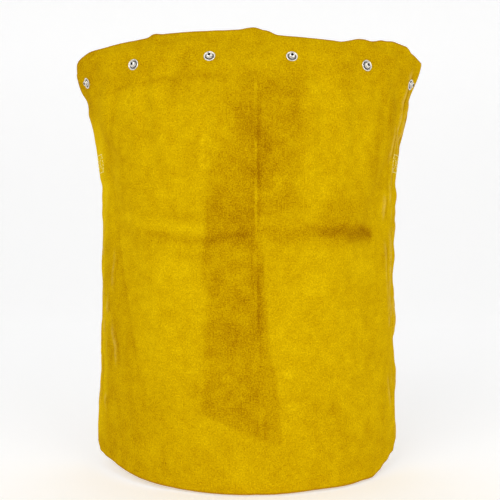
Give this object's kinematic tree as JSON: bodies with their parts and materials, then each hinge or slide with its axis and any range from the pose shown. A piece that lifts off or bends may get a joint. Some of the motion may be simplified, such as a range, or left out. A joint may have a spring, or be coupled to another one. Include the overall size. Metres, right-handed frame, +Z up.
{
  "type": "welding apron",
  "caption": "Split-leather welding bib worn curved round the body, with snap studs along its top edge and a webbing waist strap closed by a side-release buckle.",
  "frame": {"origin": "middle of the underside of the bounding box: on the mirror plane, at the height of the hem's lowest point, halfway from the leather's front face to the buckle's back face", "axes": "+Z up the wearer's body, +X to the right as a viewer faces the bib, and the bib's front faces -Y"},
  "size_m": [0.4244, 0.2788, 0.5104],
  "materials": {
    "leather": "golden-yellow split suede",
    "nickel": "nickel plated",
    "webbing": "woven black webbing",
    "thread": "pale yellow sewing thread",
    "thread_dark": "black sewing thread",
    "plastic": "moulded black acetal"
  },
  "bodies": {
    "bib": {"leather_panel": "leather", "snap_studs": "nickel", "snap_eyelets": "nickel", "strap_left_sewn_end": "webbing", "strap_right_sewn_end": "webbing", "box_stitch_left": "thread", "box_stitch_right": "thread"},
    "belt_left": {"strap_left": "webbing", "strap_loop_stitch": "thread_dark", "buckle_socket": "plastic"},
    "belt_right": {"strap_right": "webbing", "tail_hem_stitch": "thread_dark", "buckle_plug": "plastic"},
    "prong_up": {"prong_upper": "plastic"},
    "prong_down": {"prong_lower": "plastic"}
  },
  "joints": [
    {"name": "belt_left_swing", "type": "hinge", "parent": "bib", "child": "belt_left", "pos_m": [-0.18683, 0.00561, 0.37], "axis": [0, 0, 1], "range_deg": [0, 60], "deforming": ["prong_upper", "prong_lower"]},
    {"name": "belt_right_swing", "type": "hinge", "parent": "bib", "child": "belt_right", "pos_m": [0.18683, 0.00561, 0.37], "axis": [0, 0, -1], "range_deg": [0, 60]},
    {"name": "prong_upper_squeeze", "type": "hinge", "parent": "belt_right", "child": "prong_up", "pos_m": [0.0054, 0.13387, 0.3792], "axis": [0, -1, 0], "range_deg": [0, 11], "stiffness_Nm_per_rad": 0.02},
    {"name": "prong_lower_squeeze", "type": "hinge", "parent": "belt_right", "child": "prong_down", "pos_m": [0.0054, 0.13387, 0.3608], "axis": [0, 1, 0], "range_deg": [0, 11], "stiffness_Nm_per_rad": 0.02}
  ],
  "couplings": [
    {"joint": "belt_right_swing", "follows": "belt_left_swing", "ratio": 1},
    {"joint": "prong_lower_squeeze", "follows": "prong_upper_squeeze", "ratio": 1}
  ]
}
